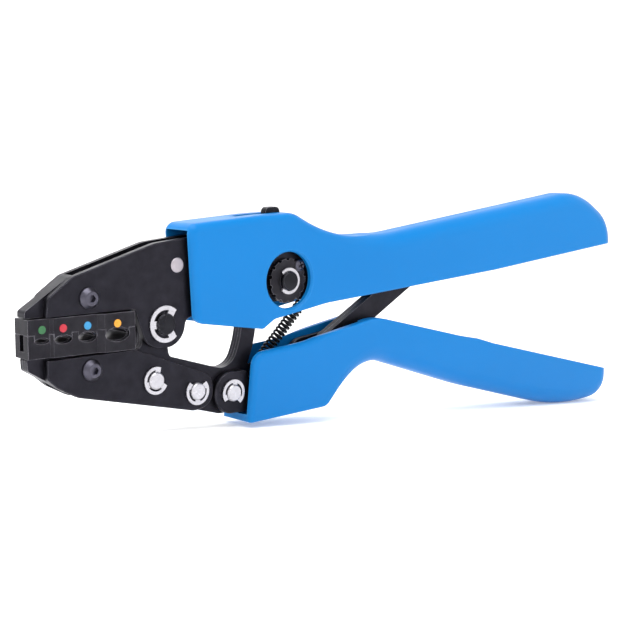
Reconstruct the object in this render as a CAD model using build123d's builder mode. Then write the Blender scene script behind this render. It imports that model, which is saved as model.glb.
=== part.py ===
from build123d import *
import math
import os

# Ratchet crimping tool with a four-nest die set, standing on its lower grip, jaws closed.
# All sketches are drawn in the tool's own plane: x runs from the jaws to the handle ends, y runs
# up across the tool, and (0, 0) is the main pivot. The plane's normal is the tool's front face.

os.makedirs("parts", exist_ok=True)

# ---- Driving dimensions (mm) ----
TILT = 4.4  # the tool leans back this many degrees when it stands on its lower grip
PIVOT_X = -79.917  # main pivot in the part's own frame
PIVOT_Z = 32.614

GAP = 4.2  # clear gap between the outer plates
PLATE = 2.0  # outer plates: frame, cheeks and handle plates
LAMINATION = 1.3  # each of the three laminations of the jaw core
STRUT_LAMINATION = 1.9
CORE_HALF = 1.5 * LAMINATION
FACE_Y = GAP / 2 + PLATE  # half thickness over the outer plates

GRIP_HALF = 7.5  # grips are 15 mm thick
WALL = 2.0
CAVITY_HALF = GRIP_HALF - WALL
SNUG_HALF = FACE_Y + 0.1  # where a grip is clamped on its plates

FIT = 0.05  # radial clearance of running fits
MAIN_PIN_R = 3.25
LINK_PIN_R = 2.6
RIVET_R = 2.2
SPACER_R = 3.6
SPRING_PIN_R = 1.25
SCREW_R = 1.75
JOURNAL_R = 3.4  # eccentric pin where it turns in the frame plates
EDGE_BREAK = 0.25  # broken outer edge of the outer plates

# Pivots and fasteners, as points of the tool's plane
MAIN_PIVOT = (0, 0)
CHEEK_PIN_1 = (-3.6, -16.5)
CHEEK_PIN_2 = (11.3, -21.5)
HANDLE_PIVOT = (24.8, -23.6)
STRUT_PIVOT = (61.0, -15.8)
STRUT_ANCHOR = (116.6, 15.9)
WHEEL = (45.6, 9.6)
PAWL_PIVOT = (45.95, 9.6)
LOCK_SCREW = (50.3, 14.2)
FRAME_RIVET = (4.8, 17.1)
HIDDEN_FRAME_RIVETS = [(15.0, 20.5), (88.0, 11.4), (140.0, 17.8)]
HANDLE_RIVETS = [(46.0, -26.7), (100.0, -17.7), (142.0, -28.7)]
UPPER_SCREW = (-25.6, 9.7)
LOWER_SCREW = (-25.1, -11.0)
SPRING_LOW = (31.8, -21.8)
SPRING_HIGH = (67.8, 13.1)

# Ratchet sector on the jaw core, concentric with the main pivot
SECTOR_IN = 30.2
SECTOR_OUT = 35.7
SECTOR_BOTTOM = -37.0  # degrees from the pivot's level
SECTOR_TOP = 25.0
SECTOR_ROOT = (25.1, -16.9)  # where the sector rises out of the core
ROOT_FILLET = 6.0
TOOTH_START = -4.0
TOOTH_PITCH = 1.7  # degrees
TOOTH_COUNT = 8
TOOTH_DEPTH = 1.0
HOOK_RELIEF_R = 2.9

STRUT_WIDTH = 7.4
STRUT_EYE_R = 5.0
ANCHOR_EYE_R = 6.0
ANCHOR_CLEARANCE = 0.8  # play of the strut's upper eye on its anchor pin

ECCENTRICITY = 0.35
ECCENTRIC_R = 3.0
STUB_R = 3.05
WHEEL_R = 7.0
WHEEL_THICK = 1.5
WHEEL_NOTCHES = 14
NOTCH_R = 0.6
LOCK_HEAD_R = 1.8
PAWL_HALF = 1.2

RING_THICK = 0.7
MAIN_GROOVE_R = 2.5
LINK_GROOVE_R = 2.0
LINK_RING_R = 4.15
TONGUE_TURNS = (58, 180, 302)  # degrees from a ring's opening
TONGUE_WIDTH = 0.42  # of the ring's radius
BUTTON_R = 3.15
BUTTON_RIM = 0.45
BUTTON_TOP_R = 2.0
BUTTON_HEIGHT = 1.9
BUTTON_ROUND = 0.3
SOCKET_R = 1.15
SOCKET_DEPTH = 1.1
REAR_HEAD_R = 4.6
LOCK_SHANK_R = 1.0
PIN_END = 1.3  # how far the pins stand out of the front plates
HEAD_THICK = 1.2
END_BREAK = 0.35

SPRING_R = 2.0
SPRING_WIRE = 0.65
SPRING_STANDOFF = 4.6  # from a hook's pin to the spring's body
GRIP_EDGE = 0.5  # sharp edges of the grips
UPPER_HEAD_ROUND = 2.6
LOWER_HEAD_ROUND = 2.0
HANDLE_ROUND = 5.5
WINDOW_BEVEL = 0.6
WINDOW = (44.9, 10.0)
WINDOW_R = 8.9
REAR_WINDOW_R = 6.2
SLOT_LEFT = 28.3
SLOT_RIGHT = 47.1
SLOT_WIDTH = 3.4

# ---- Outlines: corners of the tool's plane as (x, y, corner radius) ----
FRAME_OUTLINE = [
    (-39.5, 5.1, 0.6), (-38.8, 10.6, 3.0), (-30.7, 16.1, 3.5), (-3.0, 24.0, 14.0),
    (12.0, 25.3, 10.0), (50.0, 25.3, 6.0), (62.0, 18.6, 6.0), (76.0, 17.4, 10.0),
    (100.0, 18.8, 10.0), (150.0, 25.0, 2.0), (150.0, 12.6, 2.0), (114.0, 9.6, 3.0),
    (104.0, 7.0, 3.0), (72.0, 4.4, 2.0), (52.0, 3.2, 4.0), (40.2, 3.2, 5.0),
    (34.0, 5.4, 3.0), (28.0, 1.8, 3.0), (7.9, 1.2, 2.4), (6.4, -7.2, 6.8),
    (-5.9, -7.2, 6.2), (-10.3, 5.1, 0.8),
]
CHEEK_OUTLINE = [
    (-39.3, -6.9, 0.6), (-39.3, -12.4, 1.0), (-36.0, -15.2, 3.0), (-29.5, -18.6, 4.0),
    (10.6, -27.5, 5.6), (17.8, -26.2, 5.0), (17.2, -17.2, 4.4), (-5.6, -8.3, 6.0),
    (-10.4, -6.5, 2.0),
]
CORE_OUTLINE = [
    (-44.6, -6.2, 0.5), (-44.4, -9.6, 1.2), (-31.5, -17.4, 3.0), (-25.0, -19.2, 3.0),
    (11.0, -27.2, 2.0), (21.0, -30.0, 5.0), (30.4, -30.0, 5.6), (35.2, -23.4, 2.6),
    (33.2, -18.6, 2.6), (33.2, -15.4, 1.4), (28.6, -15.4, 1.0), (28.0, -17.8, 0.5),
    (3.0, -10.2, 1.4), (2.4, -7.2, 1.2), (6.4, -1.4, 4.5), (6.5, 6.5, 6.3),
    (-6.5, 6.5, 6.3), (-6.5, -6.9, 2.0), (-12.6, -6.9, 0.5), (-12.6, -13.6, 0.5),
    (-30.2, -13.6, 0.5), (-30.2, -6.2, 0.4),
]
HANDLE_OUTLINE = [
    (18.2, -17.0, 6.4), (30.2, -17.0, 2.0), (33.2, -23.2, 2.5), (47.0, -23.2, 5.0),
    (54.6, -10.8, 5.0), (66.0, -9.4, 6.0), (79.0, -8.4, 6.0), (104.0, -14.2, 10.0),
    (152.0, -26.8, 2.0), (149.6, -35.4, 2.0), (106.0, -23.8, 8.0), (82.0, -16.6, 8.0),
    (72.0, -16.2, 5.0), (63.6, -19.4, 4.0), (55.2, -30.1, 4.0), (18.2, -30.1, 6.4),
]
NOSE_OUTLINE = [
    (-45.0, 5.3, 0.4), (-45.0, 7.2, 1.2), (-30.7, 16.1, 3.5), (-28.6, 16.6, 1.6),
    (-27.6, 13.7, 1.0), (-30.5, 13.7, 0.8), (-30.5, 5.3, 0.4),
]
# Each grip is the common part of three blocks: its outline with sharp edges, the head with its
# rounded front and top edges, and the handle with its full round back.
UPPER_GRIP_OUTLINE = [
    (6.2, 45.0, 0), (206.0, 45.0, 0), (206.0, 13.3, 0), (138.0, 6.9, 120.0), (60.0, 1.5, 40.0),
    (38.9, -1.8, 4.0), (34.6, -4.5, 2.0), (8.8, -0.35, 3.6),
]
UPPER_HEAD_OUTLINE = [
    (7.2, 29.1, 3.2), (34.0, 30.6, 30.0), (47.6, 30.9, 9.0), (68.2, 19.6, 56.0),
    (206.0, 41.7, 0), (206.0, -30.0, 0), (10.6, -30.0, 0),
]
UPPER_HANDLE_OUTLINE = [
    (-6.0, 74.2, 0), (71.5, 20.0, 57.0), (185.4, 33.1, 26.0), (203.2, 21.5, 14.5),
    (203.2, -20.0, 0), (-6.0, -20.0, 0),
]
UPPER_CAVITY_OUTLINE = [
    (4.0, 27.2, 0.5), (49.4, 27.2, 6.0), (62.0, 20.9, 12.0), (62.0, -8.0, 0.5), (4.0, -8.0, 0.5),
]
UPPER_CHANNEL_OUTLINE = [
    (58.0, 24.0, 0.5), (63.0, 19.9, 4.0), (82.0, 18.2, 20.0), (151.0, 26.6, 1.0),
    (151.0, 11.6, 1.0), (114.0, 8.6, 2.0), (113.4, -2.0, 0.5), (58.0, -2.0, 0.5),
]
LOWER_GRIP_OUTLINE = [
    (30.8, -11.5, 4.5), (52.0, -9.8, 40.0), (82.0, -4.9, 20.0), (124.0, -15.6, 8.0),
    (130.0, -16.7, 8.0), (138.0, -19.2, 8.0), (206.0, -36.5, 0), (206.0, -69.0, 0),
    (74.9, -16.6, 23.0), (60.2, -31.9, 4.2), (28.6, -33.4, 1.0),
]
LOWER_HEAD_OUTLINE = [
    (31.1, -11.8, 4.5), (52.0, -10.1, 40.0), (206.0, 28.4, 0), (206.0, -80.0, 0), (24.1, -80.0, 0),
]
LOWER_HANDLE_OUTLINE = [
    (20.0, 10.0, 0), (202.9, 10.0, 0), (202.9, -45.5, 8.8), (178.0, -47.9, 88.0),
    (126.3, -33.6, 150.0), (77.0, -17.3, 17.0), (45.0, -57.3, 0), (20.0, -57.3, 0),
]
LOWER_CAVITY_OUTLINE = [
    (24.0, 4.0, 0.5), (76.0, 4.0, 0.5), (76.0, -17.0, 4.0), (65.0, -20.2, 5.0),
    (58.6, -29.4, 4.0), (50.0, -31.0, 3.0), (24.0, -31.0, 0.5),
]
LOWER_CHANNEL_OUTLINE = [
    (72.0, 4.0, 1.0), (91.0, 4.0, 1.0), (91.0, -10.3, 1.0), (153.0, -25.8, 1.0), (150.4, -36.8, 1.0),
    (106.0, -24.8, 8.0), (82.0, -17.4, 8.0), (72.0, -17.4, 1.0),
]
PAWL_OUTLINE = [
    (36.4, 3.6, 0.5), (36.7, 7.2, 0.5), (40.4, 13.6, 3.0), (43.2, 17.6, 3.0), (40.4, 28.0, 2.0),
    (40.2, 32.6, 1.6), (45.8, 32.6, 1.6), (45.8, 28.0, 2.0), (47.6, 16.0, 3.0),
    (51.6, 12.4, 4.0), (51.2, 4.6, 4.4), (41.0, 4.6, 4.0),
]

# ---- Die set ----
DIE_LEFT = -45.0
DIE_RIGHT = -11.4
DIE_TOP = 5.0
DIE_BOTTOM = -6.1
CREST = 0.5  # height of the lower die's crests between the nests
TOOTH_LINE = -1.2  # where the upper die's teeth meet the lower die
MATING_GAP = 0.12
TONGUE_RISE = 8.3
TONGUE_DROP = 7.3
TONGUE_LEFT = -30.0
TONGUE_RIGHT = -13.6
DIE_STEPS = [  # plan outline of the dies as (x, half thickness)
    (DIE_LEFT, 3.65), (-38.1, 3.65), (-37.3, 4.4), (-23.2, 4.4), (-21.6, 5.9), (DIE_RIGHT, 5.9),
]
NESTS = [  # colour, centre, half width of the die tooth, nest half width, nest half height
    ("green", -40.6, 2.3, 1.9, 0.5),
    ("red", -34.3, 2.8, 2.4, 0.85),
    ("blue", -26.4, 2.9, 2.6, 1.15),
    ("yellow", -17.4, 3.8, 3.6, 1.7),
]
DOT_THICK = 0.2
LOCATOR_HALF = 1.1  # locating slot in the lower die's end
LOCATOR_RUN = 1.8
LOCATOR_DEPTH = 4.6
BELL = 0.4  # the nests open out by this much at both faces
BELL_DEPTH = 0.9
DOT_R = 1.15
DOT_Y = 2.0

# ---- Planes ----
tilt = math.radians(TILT)
TOOL = Plane(
    origin=(PIVOT_X, 0, PIVOT_Z),
    x_dir=(math.cos(tilt), 0, math.sin(tilt)),
    z_dir=(0, -1, 0),
)
# Plan plane of the dies: x along the jaws, y towards the tool's back
PLAN = Plane(origin=TOOL.origin, x_dir=TOOL.x_dir, z_dir=TOOL.y_dir)


def outline(corners):
    """Closed outline of straight runs with rounded corners, given as (x, y, radius)."""
    points = [(x, y) for x, y, radius in corners]
    FilletPolyline(*points, radius=[radius for x, y, radius in corners], close=True)


def save(piece, name):
    """Label a finished piece and write its STEP file."""
    piece.part.label = name
    export_step(piece.part, f"parts/{name}.step")


def slab(level, thickness, corners, holes=(), bevel=0.0):
    """A flat plate from an outline, drilled at (point, radius); bevel breaks its outer edge."""
    with BuildPart() as piece:
        with BuildSketch(TOOL.offset(level)):
            with BuildLine():
                outline(corners)
            make_face()
            for point, radius in holes:
                with Locations(point):
                    Circle(radius, mode=Mode.SUBTRACT)
        extrude(amount=thickness)
        if bevel:
            outer = piece.faces().sort_by(Axis.Y)[0 if level > 0 else -1].outer_wire()
            chamfer(outer.edges(), bevel)
    return piece


# ---- Outer plates: the frame, the jaw's cheeks and the handle plates, front and rear ----
FRAME_HOLES = [
    (MAIN_PIVOT, MAIN_PIN_R), (STRUT_ANCHOR, LINK_PIN_R), (WHEEL, JOURNAL_R),
    (FRAME_RIVET, RIVET_R), (UPPER_SCREW, SCREW_R), (SPRING_HIGH, SPRING_PIN_R),
    (LOCK_SCREW, LOCK_SHANK_R),
] + [(point, RIVET_R) for point in HIDDEN_FRAME_RIVETS]
CHEEK_HOLES = [(CHEEK_PIN_1, LINK_PIN_R), (CHEEK_PIN_2, LINK_PIN_R), (LOWER_SCREW, SCREW_R)]
HANDLE_HOLES = [(HANDLE_PIVOT, LINK_PIN_R), (STRUT_PIVOT, LINK_PIN_R)] + [
    (point, RIVET_R) for point in HANDLE_RIVETS
]

for side, level in (("front", GAP / 2), ("rear", -FACE_Y)):
    save(slab(level, PLATE, FRAME_OUTLINE, FRAME_HOLES, EDGE_BREAK), f"frame_plate_{side}")
    save(slab(level, PLATE, CHEEK_OUTLINE, CHEEK_HOLES, EDGE_BREAK), f"cheek_{side}")
    save(slab(level, PLATE, HANDLE_OUTLINE, HANDLE_HOLES, EDGE_BREAK), f"handle_plate_{side}")

# ---- Nose block between the frame plates ----
save(slab(-GAP / 2, GAP, NOSE_OUTLINE), "nose_block")

# ---- Jaw core: three laminations with the ratchet sector ----
CORE_HOLES = [
    (MAIN_PIVOT, MAIN_PIN_R + FIT), (CHEEK_PIN_1, LINK_PIN_R), (CHEEK_PIN_2, LINK_PIN_R),
    (HANDLE_PIVOT, LINK_PIN_R + FIT), (SPRING_LOW, SPRING_PIN_R),
]
TOOTH_GAP = [(0.3, 0.45), (-TOOTH_DEPTH, 0.45), (0.3, -0.45)]
RELIEF_RUN = 8.0
spring_run = Vector(*SPRING_HIGH) - Vector(*SPRING_LOW)
spring_angle = math.degrees(math.atan2(spring_run.Y, spring_run.X))

for number, name in enumerate(("rear", "middle", "front")):
    with BuildPart() as lamination:
        with BuildSketch(TOOL.offset(-CORE_HALF + number * LAMINATION)) as profile:
            with BuildLine():
                outline(CORE_OUTLINE)
            make_face()
            with BuildLine():
                inner = CenterArc(MAIN_PIVOT, SECTOR_IN, SECTOR_BOTTOM, SECTOR_TOP - SECTOR_BOTTOM)
                outer = CenterArc(MAIN_PIVOT, SECTOR_OUT, SECTOR_BOTTOM, SECTOR_TOP - SECTOR_BOTTOM)
                Line(inner @ 0, outer @ 0)
                Line(inner @ 1, outer @ 1)
            make_face()
            fillet(profile.vertices().sort_by_distance(SECTOR_ROOT)[0], ROOT_FILLET)
            with PolarLocations(SECTOR_OUT, TOOTH_COUNT, TOOTH_START, TOOTH_PITCH * TOOTH_COUNT):
                Polygon(*TOOTH_GAP, align=None, mode=Mode.SUBTRACT)
            for point, radius in CORE_HOLES:
                with Locations(point):
                    Circle(radius, mode=Mode.SUBTRACT)
            if name == "middle":
                with Locations(SPRING_LOW):
                    Circle(HOOK_RELIEF_R, mode=Mode.SUBTRACT)
                with Locations(Location((*SPRING_LOW, 0), (0, 0, spring_angle))):
                    with Locations((RELIEF_RUN / 2, 0)):
                        Rectangle(RELIEF_RUN, 2 * SPRING_WIRE, mode=Mode.SUBTRACT)
        extrude(amount=LAMINATION)
    save(lamination, f"jaw_core_{name}")

# ---- Strut: two laminations between the handle and the frame ----
strut_run = Vector(*STRUT_ANCHOR) - Vector(*STRUT_PIVOT)
strut_angle = math.degrees(math.atan2(strut_run.Y, strut_run.X))
strut_middle = (Vector(*STRUT_ANCHOR) + Vector(*STRUT_PIVOT)) / 2
for side, level in (("front", 0), ("rear", -STRUT_LAMINATION)):
    with BuildPart() as strut:
        with BuildSketch(TOOL.offset(level)):
            with Locations(Location(strut_middle, (0, 0, strut_angle))):
                Rectangle(strut_run.length, STRUT_WIDTH)
            with Locations(STRUT_PIVOT):
                Circle(STRUT_EYE_R)
            with Locations(STRUT_ANCHOR):
                Circle(ANCHOR_EYE_R)
            with Locations(STRUT_PIVOT):
                Circle(LINK_PIN_R + FIT, mode=Mode.SUBTRACT)
            with Locations(STRUT_ANCHOR):
                Circle(LINK_PIN_R + ANCHOR_CLEARANCE, mode=Mode.SUBTRACT)
        extrude(amount=STRUT_LAMINATION)
    save(strut, f"strut_{side}")


# ---- Pins, rings, rivets and screws ----
def turned(points, centre):
    """A turned piece: (radius, height towards the front) corners spun about a tool point."""
    origin = TOOL.from_local_coords((*centre, 0))
    half_section = Plane(origin=origin, x_dir=TOOL.x_dir, z_dir=-TOOL.y_dir)
    with BuildPart() as piece:
        with BuildSketch(half_section):
            with BuildLine():
                Polyline((0, points[0][1]), *points, (0, points[-1][1]), close=True)
            make_face()
        revolve(axis=Axis(origin, TOOL.z_dir))
    return piece


def headed_pin(centre, radius, head, groove):
    """Pin with a flat head behind the rear plate and a ring groove in front of the front plate."""
    ring_top = FACE_Y + RING_THICK + 0.1
    end = FACE_Y + PIN_END
    return turned(
        [
            (head - END_BREAK, -FACE_Y - HEAD_THICK), (head, -FACE_Y - HEAD_THICK + END_BREAK),
            (head, -FACE_Y), (radius, -FACE_Y), (radius, FACE_Y), (groove, FACE_Y),
            (groove, ring_top), (radius, ring_top), (radius, end - END_BREAK),
            (radius - END_BREAK, end),
        ],
        centre,
    )


def e_ring(centre, outer, groove, opening, level=FACE_Y):
    """Retaining ring with three tongues in the pin's groove; opening is the gap's direction."""
    inner = 0.77 * outer
    with BuildPart() as ring:
        with BuildSketch(TOOL.offset(level)):
            with Locations(Location((*centre, 0), (0, 0, opening))):
                Circle(outer)
                Circle(inner, mode=Mode.SUBTRACT)
                Polygon((0, 0), (outer, -outer), (2 * outer, 0), (outer, outer), align=None,
                        mode=Mode.SUBTRACT)
                for turn in TONGUE_TURNS:
                    with PolarLocations((groove + inner + 0.3) / 2, 1, turn):
                        Rectangle(inner - groove + 0.3, TONGUE_WIDTH * outer)
                Circle(groove, mode=Mode.SUBTRACT)
        extrude(amount=RING_THICK)
    return ring


def button_screw(centre):
    """Button-head screw through both plates, with a hexagon socket."""
    blank = turned(
        [
            (SCREW_R, -FACE_Y), (SCREW_R, FACE_Y), (BUTTON_R, FACE_Y),
            (BUTTON_R, FACE_Y + BUTTON_RIM), (BUTTON_TOP_R, FACE_Y + BUTTON_HEIGHT),
        ],
        centre,
    )
    with BuildPart() as screw:
        add(blank.part)
        rims = screw.edges().filter_by(GeomType.CIRCLE).sort_by(Axis.Y)[:2]
        fillet(rims, BUTTON_ROUND)
        with BuildSketch(TOOL.offset(FACE_Y + BUTTON_HEIGHT)):
            with Locations(centre):
                RegularPolygon(SOCKET_R, 6)
        extrude(amount=-SOCKET_DEPTH, mode=Mode.SUBTRACT)
    return screw


def rivet(centre, spacer, ends):
    """Rivet with a shoulder that spaces the two plates apart."""
    shoulder = GAP / 2 - 0.02
    return turned(
        [
            (RIVET_R - 0.15, -FACE_Y - ends), (RIVET_R, -FACE_Y - ends + 0.15),
            (RIVET_R, -shoulder), (spacer, -shoulder), (spacer, shoulder), (RIVET_R, shoulder),
            (RIVET_R, FACE_Y + ends - 0.15), (RIVET_R - 0.15, FACE_Y + ends),
        ],
        centre,
    )


def plain_pin(centre, radius, half_length):
    """Headless cross pin."""
    return turned([(radius, -half_length), (radius, half_length)], centre)


def group(pieces, name):
    """Several like pieces kept as separate solids of one node."""
    with BuildPart() as node:
        for piece in pieces:
            add(piece.part)
    save(node, name)


save(headed_pin(MAIN_PIVOT, MAIN_PIN_R, 4.9, MAIN_GROOVE_R), "main_pivot_pin")
save(e_ring(MAIN_PIVOT, 5.5, MAIN_GROOVE_R, 0), "main_pivot_ring")
group(
    [headed_pin(point, LINK_PIN_R, 3.9, LINK_GROOVE_R) for point in (CHEEK_PIN_1, CHEEK_PIN_2)],
    "cheek_pins",
)
group(
    [
        e_ring(CHEEK_PIN_1, LINK_RING_R, LINK_GROOVE_R, 20),
        e_ring(CHEEK_PIN_2, LINK_RING_R, LINK_GROOVE_R, 88),
    ],
    "cheek_pin_rings",
)
save(headed_pin(HANDLE_PIVOT, LINK_PIN_R, 3.9, LINK_GROOVE_R), "handle_pivot_pin")
save(e_ring(HANDLE_PIVOT, LINK_RING_R, LINK_GROOVE_R, -100), "handle_pivot_ring")
save(rivet(FRAME_RIVET, SPACER_R, 0.15), "frame_rivet")
group([rivet(point, SPACER_R, 0) for point in HIDDEN_FRAME_RIVETS], "frame_spacer_rivets")
group([rivet(point, 3.0, 0) for point in HANDLE_RIVETS], "handle_spacer_rivets")
save(plain_pin(STRUT_PIVOT, LINK_PIN_R, FACE_Y), "strut_pin")
save(plain_pin(STRUT_ANCHOR, LINK_PIN_R, FACE_Y), "strut_anchor_pin")
save(plain_pin(SPRING_LOW, SPRING_PIN_R, CORE_HALF), "spring_pin_lower")
save(plain_pin(SPRING_HIGH, SPRING_PIN_R, FACE_Y), "spring_pin_upper")
save(button_screw(UPPER_SCREW), "upper_die_screw")
save(button_screw(LOWER_SCREW), "lower_die_screw")


# ---- Die set ----
def die(upper):
    """One half of the die set: a stepped body with its half of the nests, and a tongue."""
    gap = MATING_GAP if upper else 0
    side_play = 0 if upper else MATING_GAP
    back = DIE_TOP if upper else DIE_BOTTOM
    tip = back + TONGUE_RISE if upper else back - TONGUE_DROP
    corners = [(DIE_LEFT, CREST + gap)]
    for colour, centre, tooth, width, height in NESTS:
        left, right = centre - tooth - side_play, centre + tooth + side_play
        corners += [
            (left, CREST + gap), (left, TOOTH_LINE + gap),
            (right, TOOTH_LINE + gap), (right, CREST + gap),
        ]
    corners += [(DIE_RIGHT, CREST + gap), (DIE_RIGHT, back), (DIE_LEFT, back)]
    widest = max(half for x, half in DIE_STEPS)
    plan = DIE_STEPS + [(x, -half) for x, half in reversed(DIE_STEPS)]
    with BuildPart() as piece:
        with BuildSketch(TOOL.offset(-widest)):
            with BuildLine():
                Polyline(*corners, close=True)
            make_face()
        extrude(amount=2 * widest)
        with BuildSketch(PLAN.offset(DIE_BOTTOM)):
            with BuildLine():
                Polyline(*plan, close=True)
            make_face()
        extrude(amount=DIE_TOP - DIE_BOTTOM, mode=Mode.INTERSECT)
        with BuildSketch(TOOL.offset(FIT - GAP / 2)):
            with BuildLine():
                Polyline(
                    (TONGUE_LEFT, back), (TONGUE_RIGHT, back),
                    (TONGUE_RIGHT, tip), (TONGUE_LEFT, tip), close=True,
                )
            make_face()
        extrude(amount=GAP - 2 * FIT)
        with BuildSketch(TOOL.offset(-widest)):
            for colour, centre, tooth, width, height in NESTS:
                with Locations((centre, TOOTH_LINE)):
                    Ellipse(width, height)
            with Locations(UPPER_SCREW if upper else LOWER_SCREW):
                Circle(SCREW_R)
        extrude(amount=2 * widest, mode=Mode.SUBTRACT)
        for (colour, centre, tooth, width, height), half in zip(NESTS, NEST_HALVES):
            for mouth in (half - BELL_DEPTH, -half - BELL_DEPTH):
                with BuildSketch(TOOL.offset(mouth)):
                    with Locations((centre, TOOTH_LINE)):
                        Ellipse(width + BELL, height + BELL)
                extrude(amount=2 * BELL_DEPTH, mode=Mode.SUBTRACT)
        if not upper:
            with BuildSketch(TOOL.offset(-LOCATOR_HALF)):
                with Locations((DIE_LEFT, CREST)):
                    Rectangle(2 * LOCATOR_RUN, 2 * LOCATOR_DEPTH)
            extrude(amount=2 * LOCATOR_HALF, mode=Mode.SUBTRACT)
    return piece


NEST_HALVES = (3.65, 4.4, 4.4, 5.9)
save(die(True), "upper_die")
save(die(False), "lower_die")

for (colour, centre, tooth, width, height), half in zip(NESTS, NEST_HALVES):
    dots = [(half, DOT_THICK), (-half, -DOT_THICK)]
    with BuildPart() as dot:
        for level, rise in dots:
            with BuildSketch(TOOL.offset(level)):
                with Locations((centre, DOT_Y)):
                    Circle(DOT_R)
            extrude(amount=rise)
    save(dot, f"dot_{colour}")

# ---- Star wheel, eccentric pin, lock screw and release lever ----
with BuildPart() as star_wheel:
    with BuildSketch(TOOL.offset(FACE_Y)):
        with Locations(WHEEL):
            Circle(WHEEL_R)
            Circle(STUB_R, mode=Mode.SUBTRACT)
            with PolarLocations(WHEEL_R, WHEEL_NOTCHES, 90):
                Circle(NOTCH_R, mode=Mode.SUBTRACT)
        with Locations(LOCK_SCREW):
            Circle(LOCK_HEAD_R + FIT, mode=Mode.SUBTRACT)
    extrude(amount=WHEEL_THICK)
save(star_wheel, "star_wheel")

wheel_face = FACE_Y + WHEEL_THICK
ring_top = wheel_face + RING_THICK
pin_blank = turned(
    [
        (REAR_HEAD_R, -FACE_Y - HEAD_THICK), (REAR_HEAD_R, -FACE_Y), (JOURNAL_R, -FACE_Y),
        (JOURNAL_R, -GAP / 2), (ECCENTRIC_R - ECCENTRICITY, -GAP / 2),
        (ECCENTRIC_R - ECCENTRICITY, GAP / 2), (JOURNAL_R, GAP / 2), (JOURNAL_R, FACE_Y),
        (STUB_R, FACE_Y), (STUB_R, wheel_face), (LINK_GROOVE_R, wheel_face),
        (LINK_GROOVE_R, ring_top), (STUB_R, ring_top), (STUB_R, ring_top + 0.5),
        (STUB_R - END_BREAK, ring_top + 0.5 + END_BREAK),
    ],
    WHEEL,
)
with BuildPart() as eccentric_pin:
    add(pin_blank.part)
    with BuildSketch(TOOL.offset(-GAP / 2)):
        with Locations(PAWL_PIVOT):
            Circle(ECCENTRIC_R)
    extrude(amount=GAP)
    with BuildSketch(TOOL.offset(-FACE_Y - HEAD_THICK)):
        with Locations(WHEEL):
            Rectangle(2 * REAR_HEAD_R, 1.1, rotation=30)
    extrude(amount=0.7, mode=Mode.SUBTRACT)
save(eccentric_pin, "eccentric_pin")
save(e_ring(WHEEL, LINK_RING_R, LINK_GROOVE_R, 180, wheel_face), "eccentric_ring")

screw_blank = turned(
    [
        (LOCK_SHANK_R, GAP / 2), (LOCK_SHANK_R, FACE_Y), (LOCK_HEAD_R, FACE_Y),
        (LOCK_HEAD_R, wheel_face + 0.2), (LOCK_HEAD_R - 0.7, wheel_face + 0.8),
    ],
    LOCK_SCREW,
)
with BuildPart() as lock_screw:
    add(screw_blank.part)
    with BuildSketch(TOOL.offset(wheel_face + 0.8)):
        with Locations(LOCK_SCREW):
            for turn in (20, 110):
                Rectangle(2.3, 0.55, rotation=turn)
    extrude(amount=-0.8, mode=Mode.SUBTRACT)
save(lock_screw, "lock_screw")

save(slab(-PAWL_HALF, 2 * PAWL_HALF, PAWL_OUTLINE, [(PAWL_PIVOT, ECCENTRIC_R + FIT)]), "release_lever")

with BuildPart() as pawl_spring:
    with BuildSketch(TOOL.offset(PAWL_HALF + 0.1)):
        with Locations(PAWL_PIVOT):
            Circle(ECCENTRIC_R + 1.3)
            Circle(ECCENTRIC_R + 0.5, mode=Mode.SUBTRACT)
    extrude(amount=GAP / 2 - PAWL_HALF - 0.2)
save(pawl_spring, "pawl_spring")

# ---- Return spring: hollow coil body with a hook at each end ----
spring_length = spring_run.length
low_hook = TOOL.from_local_coords((*SPRING_LOW, 0))
high_hook = TOOL.from_local_coords((*SPRING_HIGH, 0))
run_direction = (high_hook - low_hook).normalized()
coil_end = Plane(origin=low_hook, x_dir=TOOL.z_dir, z_dir=run_direction)
hook_r = SPRING_PIN_R + SPRING_WIRE / 2 + 0.08
with BuildPart() as return_spring:
    with BuildSketch(coil_end.offset(SPRING_STANDOFF)):
        Circle(SPRING_R)
    extrude(amount=spring_length - 2 * SPRING_STANDOFF)
    with BuildSketch(coil_end.offset(SPRING_STANDOFF + SPRING_WIRE)):
        Circle(SPRING_R - SPRING_WIRE)
    extrude(amount=spring_length - 2 * SPRING_STANDOFF - 2 * SPRING_WIRE, mode=Mode.SUBTRACT)
    for start in (hook_r, spring_length - SPRING_STANDOFF):
        with BuildSketch(coil_end.offset(start)):
            Circle(SPRING_WIRE / 2)
        extrude(amount=SPRING_STANDOFF - hook_r)
    for hook in (low_hook, high_hook):
        with Locations(Plane(origin=hook, x_dir=TOOL.x_dir, z_dir=TOOL.z_dir)):
            Torus(hook_r, SPRING_WIRE / 2)
save(return_spring, "return_spring")


# ---- Grips: hollow sleeves over the plates ----
def rounded_block(corners, radius):
    """Block as thick as a grip, with both sides' edges rounded."""
    with BuildPart() as block:
        with BuildSketch(TOOL.offset(-GRIP_HALF)):
            with BuildLine():
                outline(corners)
            make_face()
        extrude(amount=2 * GRIP_HALF)
        fillet(block.faces().filter_by(Axis.Y).edges(), radius)
    return block


def sleeve(blocks, cavity, channel):
    """A grip: what its rounded blocks share, with a wide cavity and a snug channel behind it."""
    with BuildPart() as grip:
        for number, (corners, radius) in enumerate(blocks):
            block = rounded_block(corners, radius)
            add(block.part, mode=Mode.INTERSECT if number else Mode.ADD)
        for hollow, half in ((cavity, CAVITY_HALF), (channel, SNUG_HALF)):
            with BuildSketch(TOOL.offset(-half)):
                with BuildLine():
                    outline(hollow)
                make_face()
            extrude(amount=2 * half, mode=Mode.SUBTRACT)
    return grip


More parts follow.
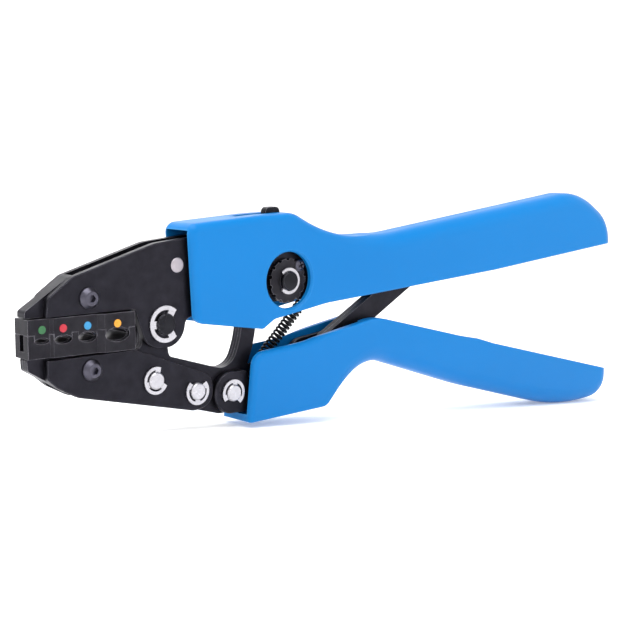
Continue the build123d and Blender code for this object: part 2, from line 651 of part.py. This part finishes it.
UPPER_BLOCKS = [
    (UPPER_GRIP_OUTLINE, GRIP_EDGE), (UPPER_HEAD_OUTLINE, UPPER_HEAD_ROUND),
    (UPPER_HANDLE_OUTLINE, HANDLE_ROUND),
]
LOWER_BLOCKS = [
    (LOWER_GRIP_OUTLINE, GRIP_EDGE), (LOWER_HEAD_OUTLINE, LOWER_HEAD_ROUND),
    (LOWER_HANDLE_OUTLINE, HANDLE_ROUND),
]
grip_blank = sleeve(UPPER_BLOCKS, UPPER_CAVITY_OUTLINE, UPPER_CHANNEL_OUTLINE)
with BuildPart() as upper_grip:
    add(grip_blank.part)
    for level, radius in ((0, WINDOW_R), (-GRIP_HALF, REAR_WINDOW_R)):
        with BuildSketch(TOOL.offset(level)):
            with Locations(WINDOW):
                Circle(radius)
        extrude(amount=GRIP_HALF, mode=Mode.SUBTRACT)
    rims = upper_grip.edges().filter_by(GeomType.CIRCLE).filter_by(
        lambda edge: edge.radius in (WINDOW_R, REAR_WINDOW_R) and abs(edge.center().Y) > GRIP_HALF - 0.1
    )
    chamfer(rims, WINDOW_BEVEL)
    with BuildSketch(TOOL.offset(-SLOT_WIDTH / 2)):
        with BuildLine():
            Polyline(
                (SLOT_LEFT, 26.0), (SLOT_RIGHT, 26.0), (SLOT_RIGHT, 34.0), (SLOT_LEFT, 34.0),
                close=True,
            )
        make_face()
    extrude(amount=SLOT_WIDTH, mode=Mode.SUBTRACT)
save(upper_grip, "upper_grip")
save(sleeve(LOWER_BLOCKS, LOWER_CAVITY_OUTLINE, LOWER_CHANNEL_OUTLINE), "lower_grip")
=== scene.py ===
import math

import bmesh
import bpy
from mathutils import Matrix, Vector


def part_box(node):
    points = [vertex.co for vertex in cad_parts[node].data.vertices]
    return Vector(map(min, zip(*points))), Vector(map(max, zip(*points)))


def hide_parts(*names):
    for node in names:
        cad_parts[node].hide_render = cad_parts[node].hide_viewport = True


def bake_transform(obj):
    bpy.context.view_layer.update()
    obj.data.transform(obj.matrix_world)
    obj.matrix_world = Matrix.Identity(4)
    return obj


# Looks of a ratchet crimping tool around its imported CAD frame, in metres.

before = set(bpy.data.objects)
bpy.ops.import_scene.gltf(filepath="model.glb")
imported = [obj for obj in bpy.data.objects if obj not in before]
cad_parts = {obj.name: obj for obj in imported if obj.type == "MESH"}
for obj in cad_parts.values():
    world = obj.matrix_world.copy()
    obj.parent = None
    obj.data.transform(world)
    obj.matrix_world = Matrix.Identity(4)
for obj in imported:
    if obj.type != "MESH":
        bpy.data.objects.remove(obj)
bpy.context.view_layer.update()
MM = 0.001


def centre(node):
    """Middle of a CAD node's box."""
    low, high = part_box(node)
    return (Vector(low) + Vector(high)) / 2


# ---- The tool's own plane: x from the jaws to the handle ends, z across the tool ----
TILT = math.radians(4.4)  # as in part.py: the tool leans back on its lower grip
main_pin = centre("main_pivot_pin")
PIVOT = Vector((main_pin.x, 0.0, main_pin.z))
ALONG = Vector((math.cos(TILT), 0.0, math.sin(TILT)))
ACROSS = Vector((-math.sin(TILT), 0.0, math.cos(TILT)))
BACK = Vector((0.0, 1.0, 0.0))


def at(x, z, y=0.0):
    """Point of the tool's plane, in millimetres from the main pivot; y is towards the rear."""
    return PIVOT + (x * ALONG + z * ACROSS + y * BACK) * MM


# ---- Node materials ----
class Nodes:
    """A material's node tree, with short calls for the nodes used here."""

    def __init__(self, name):
        self.material = bpy.data.materials.new(name)
        self.material.use_nodes = True
        self.tree = self.material.node_tree
        self.shader = self.tree.nodes["Principled BSDF"]
        self.coordinates = self.tree.nodes.new("ShaderNodeTexCoord").outputs["Object"]

    def link(self, source, target):
        self.tree.links.new(source, target)

    def set(self, **values):
        """Constant values on the shader's own sockets; underscores stand for spaces."""
        for key, value in values.items():
            self.shader.inputs[key.replace("_", " ")].default_value = value

    def stretched(self, scale, axis_scale=(1, 1, 1)):
        """Object coordinates scaled per axis, for grain that runs one way."""
        mapping = self.tree.nodes.new("ShaderNodeMapping")
        mapping.inputs["Scale"].default_value = [scale * part for part in axis_scale]
        self.link(self.coordinates, mapping.inputs["Vector"])
        return mapping.outputs["Vector"]

    def noise(self, scale, detail=3.0, roughness=0.5, vector=None):
        node = self.tree.nodes.new("ShaderNodeTexNoise")
        node.inputs["Scale"].default_value = scale
        node.inputs["Detail"].default_value = detail
        node.inputs["Roughness"].default_value = roughness
        self.link(vector or self.coordinates, node.inputs["Vector"])
        return node.outputs["Fac"]

    def ramp(self, value, stops):
        """Colour ramp; stops are (position, colour or grey level)."""
        node = self.tree.nodes.new("ShaderNodeValToRGB")
        elements = node.color_ramp.elements
        while len(elements) < len(stops):
            elements.new(0.5)
        for element, (position, colour) in zip(elements, stops):
            element.position = position
            grey = (colour, colour, colour, 1.0)
            element.color = (*colour, 1.0) if isinstance(colour, tuple) else grey
        self.link(value, node.inputs["Fac"])
        return node.outputs["Color"]

    def mix(self, factor, first, second):
        node = self.tree.nodes.new("ShaderNodeMix")
        node.data_type = "RGBA"
        self.link(factor, node.inputs["Factor"])
        for socket, value in zip(("A", "B"), (first, second)):
            target = next(e for e in node.inputs if e.name == socket and e.type == "RGBA")
            if isinstance(value, tuple):
                target.default_value = (*value, 1.0)
            else:
                self.link(value, target)
        return next(e for e in node.outputs if e.type == "RGBA")

    def math(self, operation, first, second):
        node = self.tree.nodes.new("ShaderNodeMath")
        node.operation = operation
        for socket, value in zip(node.inputs, (first, second)):
            if isinstance(value, (int, float)):
                socket.default_value = value
            else:
                self.link(value, socket)
        return node.outputs["Value"]

    def edges(self, radius, low, high):
        """1 along edges, 0 on flat faces: a rounded normal against the true one; it lightens edges
        as painted highlight, and as wear on the steel.
        """
        bevel = self.tree.nodes.new("ShaderNodeBevel")
        bevel.samples = 6
        bevel.inputs["Radius"].default_value = radius
        geometry = self.tree.nodes.new("ShaderNodeNewGeometry")
        dot = self.tree.nodes.new("ShaderNodeVectorMath")
        dot.operation = "DOT_PRODUCT"
        self.link(bevel.outputs["Normal"], dot.inputs[0])
        self.link(geometry.outputs["Normal"], dot.inputs[1])
        return self.ramp(dot.outputs["Value"], [(low, 1.0), (high, 0.0)])

    def bump(self, height, strength, distance, base=None):
        node = self.tree.nodes.new("ShaderNodeBump")
        node.inputs["Strength"].default_value = strength
        node.inputs["Distance"].default_value = distance
        self.link(height, node.inputs["Height"])
        if base is not None:
            self.link(base, node.inputs["Normal"])
        return node.outputs["Normal"]

    def done(self, colour=None, roughness=None, normal=None):
        for value, socket in ((colour, "Base Color"), (roughness, "Roughness"), (normal, "Normal")):
            if value is not None:
                self.link(value, self.shader.inputs[socket])
        return self.material


def moulded_plastic():
    """Blue satin-gloss plastic with a fine spark-eroded grain, faint flow marks and a painted
    highlight along its rounded edges.
    """
    n = Nodes("blue_moulded_plastic")
    n.set(Specular_IOR_Level=0.14, Coat_Weight=0.06, Coat_Roughness=0.25)
    flow = n.noise(9.0, 2.0, vector=n.stretched(1.0, (0.6, 1.0, 1.6)))
    colour = n.ramp(flow, [(0.3, (0.001, 0.158, 0.455)), (0.7, (0.002, 0.182, 0.515))])
    # Painted highlight: the rounded edges are mixed towards a lighter blue, standing in for light
    # falling on them.
    edge_wear_and_highlight = n.edges(0.0012, 0.72, 0.985)
    colour = n.mix(n.math("MULTIPLY", edge_wear_and_highlight, 0.45), colour, (0.07, 0.36, 0.76))
    grain = n.noise(2600.0, 2.0)
    roughness = n.ramp(n.noise(60.0, 4.0), [(0.35, 0.33), (0.68, 0.43)])
    normal = n.bump(grain, 0.10, 0.00003)
    normal = n.bump(n.noise(45.0, 2.0), 0.06, 0.0004, normal)
    return n.done(colour, roughness, normal)


def oxide_steel(name, dark, light, grain_axis, polish=0.40):
    """Black oxide steel: mottled coating, grinding grain, and lighter edges that are partly worn
    bare metal and partly painted highlight.
    """
    n = Nodes(name)
    n.set(Metallic=0.85, Specular_IOR_Level=0.4)
    mottle = n.noise(230.0, 5.0, 0.6)
    colour = n.ramp(mottle, [(0.3, dark), (0.72, light)])
    patches = n.ramp(n.noise(420.0, 4.0), [(0.3, 0.25), (0.6, 1.0)])
    # Lighter edges: partly worn bare metal, partly a painted highlight along the edges.
    edge_wear_and_highlight = n.math("MULTIPLY", n.edges(0.00028, 0.70, 0.96), patches)
    colour = n.mix(edge_wear_and_highlight, colour, (0.30, 0.29, 0.33))
    grinding = n.noise(1.0, 3.0, 0.6, vector=n.stretched(1400.0, grain_axis))
    roughness = n.ramp(n.noise(140.0, 4.0), [(0.3, polish - 0.05), (0.7, polish + 0.09)])
    normal = n.bump(grinding, 0.10, 0.00002)
    return n.done(colour, roughness, normal)


def bright_steel(name, tone, roughness_low, roughness_high):
    """Plated steel with turned marks and small scuffs."""
    n = Nodes(name)
    n.set(Metallic=1.0)
    stain = n.noise(500.0, 4.0, 0.6)
    colour = n.ramp(stain, [(0.3, tuple(0.86 * part for part in tone)), (0.7, tone)])
    marks = n.noise(1.0, 2.0, vector=n.stretched(2600.0, (1.0, 0.1, 0.25)))
    roughness = n.ramp(n.noise(900.0, 3.0), [(0.35, roughness_low), (0.65, roughness_high)])
    normal = n.bump(marks, 0.12, 0.00002)
    return n.done(colour, roughness, normal)


def paint(name, shade):
    """Glossy enamel filling, slightly uneven."""
    n = Nodes(name)
    n.set(Coat_Weight=0.2, Coat_Roughness=0.08)
    cloud = n.noise(1500.0, 3.0)
    colour = n.ramp(cloud, [(0.3, tuple(0.78 * part for part in shade)), (0.7, shade)])
    roughness = n.ramp(cloud, [(0.3, 0.28), (0.7, 0.4)])
    return n.done(colour, roughness, n.bump(cloud, 0.2, 0.00004))


BLUE = moulded_plastic()
PLATE_STEEL = oxide_steel(
    "black_oxide_plate", (0.012, 0.0115, 0.016), (0.021, 0.020, 0.027), (0.05, 1, 1))
DIE_STEEL = oxide_steel(
    "black_oxide_die", (0.014, 0.013, 0.017), (0.026, 0.025, 0.030), (1, 0.05, 1), 0.44)
PIN_STEEL = oxide_steel(
    "black_oxide_pin", (0.010, 0.010, 0.013), (0.018, 0.018, 0.022), (1, 0.1, 1), 0.30)
SPRING_STEEL = oxide_steel(
    "black_spring_wire", (0.012, 0.012, 0.014), (0.022, 0.022, 0.026), (1, 1, 1), 0.34)
SCREW_STEEL = bright_steel("satin_screw_steel", (0.085, 0.082, 0.105), 0.30, 0.42)
PIN_BRIGHT = bright_steel("bright_pin_steel", (0.50, 0.49, 0.52), 0.26, 0.38)
RIVET_BRIGHT = bright_steel("bright_rivet_steel", (0.44, 0.40, 0.43), 0.34, 0.46)
RING_BRIGHT = bright_steel("bright_ring_steel", (0.48, 0.47, 0.50), 0.20, 0.32)

FINISHES = {
    "upper_grip": BLUE,
    "lower_grip": BLUE,
    "upper_die": DIE_STEEL,
    "lower_die": DIE_STEEL,
    "star_wheel": DIE_STEEL,
    "main_pivot_pin": PIN_STEEL,
    "eccentric_pin": PIN_STEEL,
    "release_lever": PIN_STEEL,
    "spring_pin_lower": PIN_STEEL,
    "spring_pin_upper": PIN_STEEL,
    "pawl_spring": SPRING_STEEL,
    "return_spring": SPRING_STEEL,
    "upper_die_screw": SCREW_STEEL,
    "lower_die_screw": SCREW_STEEL,
    "lock_screw": SCREW_STEEL,
    "cheek_pins": PIN_BRIGHT,
    "handle_pivot_pin": PIN_BRIGHT,
    "strut_pin": PIN_BRIGHT,
    "strut_anchor_pin": PIN_BRIGHT,
    "frame_rivet": RIVET_BRIGHT,
    "frame_spacer_rivets": RIVET_BRIGHT,
    "handle_spacer_rivets": RIVET_BRIGHT,
    "main_pivot_ring": RING_BRIGHT,
    "cheek_pin_rings": RING_BRIGHT,
    "handle_pivot_ring": RING_BRIGHT,
    "eccentric_ring": RING_BRIGHT,
    "dot_green": paint("enamel_green", (0.008, 0.13, 0.03)),
    "dot_red": paint("enamel_red", (0.50, 0.003, 0.022)),
    "dot_blue": paint("enamel_blue", (0.015, 0.27, 0.56)),
    "dot_yellow": paint("enamel_yellow", (0.86, 0.36, 0.012)),
}
for node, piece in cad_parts.items():
    piece.data.materials.clear()
    piece.data.materials.append(FINISHES.get(node, PLATE_STEEL))


# ---- Return spring: a coiled wire with a hook at each end ----
SPRING_LOW = (31.8, -21.8)  # the hooks' pins, in the tool's plane (mm)
SPRING_HIGH = (67.8, 13.1)
COIL_R = 1.6
WIRE_R = 0.4
HOOK_R = 1.655
STANDOFF = 4.6
COIL_PITCH = 1.38
STEPS_PER_TURN = 20
HOOK_STEPS = 24
HOOK_GAP = 40  # degrees left open between each hook and the coil
TAPER_STEPS = 8  # steps over which the coil opens from its end to its full radius
TAPER_START = 0.25  # radius of the coil's end over its full radius


def tube(name, path, radius, sides=10):
    """Round wire along a path of points."""
    mesh = bpy.data.meshes.new(name)
    build = bmesh.new()
    rings = []
    side = None
    for index, point in enumerate(path):
        ahead = path[min(index + 1, len(path) - 1)] - path[max(index - 1, 0)]
        ahead.normalize()
        side = ahead.orthogonal() if side is None else side - ahead * side.dot(ahead)
        side.normalize()
        other = ahead.cross(side)
        rings.append([
            build.verts.new(point + radius * (math.cos(angle) * side + math.sin(angle) * other))
            for angle in (2 * math.pi * step / sides for step in range(sides))
        ])
    for ring, following in zip(rings, rings[1:]):
        for step in range(sides):
            after = (step + 1) % sides
            build.faces.new((ring[step], ring[after], following[after], following[step]))
    build.faces.new(reversed(rings[0]))
    build.faces.new(rings[-1])
    bmesh.ops.recalc_face_normals(build, faces=build.faces)
    build.to_mesh(mesh)
    build.free()
    for face in mesh.polygons:
        face.use_smooth = True
    piece = bpy.data.objects.new(name, mesh)
    bpy.context.scene.collection.objects.link(piece)
    return piece


def spring_path():
    """The wire's centre line: lower hook, coil, upper hook."""
    low, high = at(*SPRING_LOW), at(*SPRING_HIGH)
    run = high - low
    length = run.length / MM
    axis = run.normalized()
    cross = axis.cross(BACK)

    def hook(centre_point, towards, start, end):
        """Loop round a pin, in the tool's plane; angles from the direction of the coil."""
        return [
            centre_point + HOOK_R * MM * (math.cos(turn) * towards + math.sin(turn) * cross)
            for turn in (
                math.radians(start + (end - start) * step / HOOK_STEPS)
                for step in range(HOOK_STEPS + 1)
            )
        ]

    turns = (length - 2 * STANDOFF) / COIL_PITCH
    steps = round(turns * STEPS_PER_TURN)
    coil = []
    for step in range(steps + 1):
        turn = 2 * math.pi * step / STEPS_PER_TURN
        along = STANDOFF + (length - 2 * STANDOFF) * step / steps
        grow = min(1.0, step / TAPER_STEPS, (steps - step) / TAPER_STEPS)
        reach = COIL_R * (TAPER_START + (1 - TAPER_START) * grow)
        outward = math.cos(turn) * BACK + math.sin(turn) * cross
        coil.append(low + axis * along * MM + reach * MM * outward)
    first = hook(low, axis, HOOK_GAP - 360, -HOOK_GAP)
    last = hook(high, -axis, HOOK_GAP, 360 - HOOK_GAP)
    return first + coil + last, coil[0], coil[-1]


wire, coil_low, coil_high = spring_path()
return_spring = tube("return_spring_wire", wire, WIRE_R * MM)
return_spring.data.materials.append(SPRING_STEEL)
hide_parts("return_spring")
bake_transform(return_spring)

# ---- Floor, light and camera ----
FLAT_R = 1.3  # the backdrop is a dish: flat floor, then a wide round sweep up to a wall
SWEEP_R = 0.9
WALL_TOP = 3.0
SWEEP_STEPS = 16
ROUND_STEPS = 96
WORLD_STRENGTH = 0.30


def backdrop():
    profile = [(0.02, 0.0), (0.3, 0.0), (FLAT_R, 0.0)]
    profile += [
        (FLAT_R + SWEEP_R * math.sin(turn), SWEEP_R * (1 - math.cos(turn)))
        for turn in (math.radians(90 * step / SWEEP_STEPS) for step in range(1, SWEEP_STEPS + 1))
    ]
    profile.append((FLAT_R + SWEEP_R, WALL_TOP))
    build = bmesh.new()
    rings = [
        [
            build.verts.new((reach * math.cos(turn), reach * math.sin(turn), height))
            for turn in (2 * math.pi * step / ROUND_STEPS for step in range(ROUND_STEPS))
        ]
        for reach, height in profile
    ]
    build.faces.new(rings[0])
    for ring, following in zip(rings, rings[1:]):
        for step in range(ROUND_STEPS):
            after = (step + 1) % ROUND_STEPS
            build.faces.new((ring[step], following[step], following[after], ring[after]))
    mesh = bpy.data.meshes.new("backdrop")
    build.to_mesh(mesh)
    build.free()
    for face in mesh.polygons:
        face.use_smooth = True
    piece = bpy.data.objects.new("backdrop", mesh)
    bpy.context.scene.collection.objects.link(piece)
    n = Nodes("pale_floor")
    shade = n.ramp(n.noise(6.0, 3.0), [(0.3, (0.93, 0.93, 0.935)), (0.7, (0.95, 0.95, 0.955))])
    n.set(Specular_IOR_Level=0.2, Roughness=0.7)
    n.set(Emission_Color=(1.0, 1.0, 1.0, 1.0), Emission_Strength=0.26)
    mesh.materials.append(n.done(shade))


backdrop()

world = bpy.data.worlds.new("studio")
bpy.context.scene.world = world
world.use_nodes = True
sky = world.node_tree.nodes["Background"]
sky.inputs["Color"].default_value = (1.0, 1.0, 1.0, 1.0)
sky.inputs["Strength"].default_value = WORLD_STRENGTH


def softbox(name, place, target, size, power):
    light = bpy.data.lights.new(name, "AREA")
    light.shape = "RECTANGLE"
    light.size, light.size_y = size
    light.energy = power
    holder = bpy.data.objects.new(name, light)
    bpy.context.scene.collection.objects.link(holder)
    holder.location = place
    holder.rotation_euler = (Vector(target) - Vector(place)).to_track_quat("-Z", "Y").to_euler()


TARGET = (0.0, 0.0, 0.04)
softbox("key_overhead", (-0.25, 0.0, 1.0), TARGET, (1.2, 0.9), 14.0)
softbox("front_left", (-1.0, -0.9, 0.55), TARGET, (0.9, 0.9), 1.0)
softbox("front_right", (0.9, -1.1, 0.45), TARGET, (0.9, 0.9), 1.0)
softbox("back_rim", (0.2, 1.1, 0.7), TARGET, (1.0, 0.6), 2.0)

TURN = math.radians(40.0)  # the camera looks at the tool's face from the jaw end
DROP = math.radians(7.8)
CAMERA_PLACE = (-242.6, 61.6, -362.2)  # x, z and y in the tool's plane (mm)
FOCAL = 1475.0 / 630.0  # focal length over the frame's width


def to_world(x, y, z):
    return x * ALONG + y * BACK + z * ACROSS


level = math.cos(DROP)
forward = to_world(math.sin(TURN) * level, math.cos(TURN) * level, -math.sin(DROP))
right = to_world(math.cos(TURN), -math.sin(TURN), 0.0)
up = right.cross(forward)
lens = bpy.data.cameras.new("camera")
lens.sensor_width = 36.0
lens.lens = lens.sensor_width * FOCAL
lens.clip_start = 0.01
camera = bpy.data.objects.new("camera", lens)
bpy.context.scene.collection.objects.link(camera)
rotation = Matrix((right, up, -forward)).transposed().to_4x4()
camera.matrix_world = Matrix.Translation(at(*CAMERA_PLACE)) @ rotation
bpy.context.scene.camera = camera
bpy.context.scene.view_settings.view_transform = "Standard"
